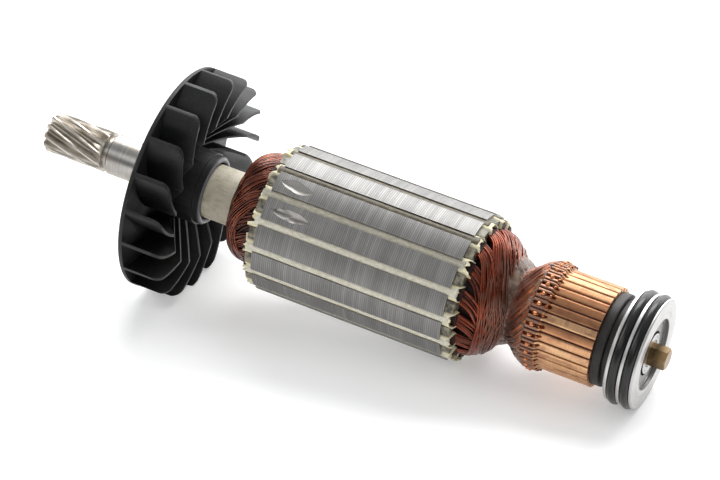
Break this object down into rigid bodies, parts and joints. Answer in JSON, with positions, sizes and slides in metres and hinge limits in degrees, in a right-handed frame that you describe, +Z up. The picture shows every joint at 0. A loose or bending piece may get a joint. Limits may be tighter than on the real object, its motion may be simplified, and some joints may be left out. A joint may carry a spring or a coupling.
{
  "type": "motor rotor",
  "caption": "Power tool motor armature with helical pinion, black cooling fan, wound stack, copper commutator and a sleeved ball bearing.",
  "frame": {"origin": "on the shaft axis, at the shoulder where the fan hub stops the drive bearing", "axes": "+X along the shaft from the pinion towards the commutator end, +Z up"},
  "size_m": [0.2414, 0.0824, 0.0824],
  "materials": {
    "shaft_steel": "ground and hobbed case-hardened steel",
    "fan_plastic": "glass-filled nylon, satin black",
    "tube_plastic": "cream-white moulded insulating tube",
    "lamination_steel": "turned edges of electrical steel sheet",
    "insulating_board": "pale insulating board",
    "slot_paper": "cream slot paper",
    "wedge_strip": "pale slot-closing strip",
    "enamelled_wire": "red-brown enamelled copper wire",
    "varnished_wire": "copper wire under dark varnish",
    "commutator_copper": "turned copper",
    "mica": "undercut mica",
    "phenolic": "black phenolic moulding",
    "fused_copper": "heat-stained copper",
    "bearing_steel": "ground bearing steel",
    "shield_steel": "pressed sheet steel",
    "sleeve_aluminium": "turned aluminium",
    "seal_rubber": "black nitrile rubber"
  },
  "bodies": {
    "rotor": {"shaft": "shaft_steel", "cooling_fan": "fan_plastic", "shaft_tube_drive": "tube_plastic", "lamination_stack": "lamination_steel", "end_insulation_drive": "insulating_board", "end_insulation_commutator": "insulating_board", "slot_liners": "slot_paper", "slot_wedges": "wedge_strip", "slot_conductors": "enamelled_wire", "end_turns_drive": "enamelled_wire", "end_turns_commutator": "varnished_wire", "shaft_tube_commutator": "tube_plastic", "commutator_leads": "varnished_wire", "commutator_bars": "commutator_copper", "commutator_mica": "mica", "commutator_moulding": "phenolic", "commutator_bush": "bearing_steel", "fused_wire_ends": "fused_copper", "bearing_spacer": "bearing_steel", "bearing_inner_ring": "bearing_steel"},
    "sleeve": {"bearing_outer_ring": "bearing_steel", "bearing_shield_back": "shield_steel", "bearing_shield_front": "shield_steel", "bearing_sleeve": "sleeve_aluminium", "seal_ring_back": "seal_rubber", "seal_ring_front": "seal_rubber"},
    "cage": {"bearing_cage": "shield_steel", "bearing_balls": "bearing_steel"}
  },
  "joints": [
    {"name": "sleeve_spin", "type": "hinge", "parent": "rotor", "child": "sleeve", "pos_m": [0.1819, 0, 0], "axis": [1, 0, 0], "continuous": true},
    {"name": "cage_spin", "type": "hinge", "parent": "rotor", "child": "cage", "pos_m": [0.1819, 0, 0], "axis": [1, 0, 0], "continuous": true}
  ],
  "couplings": [
    {"joint": "cage_spin", "follows": "sleeve_spin", "ratio": 0.6315}
  ]
}
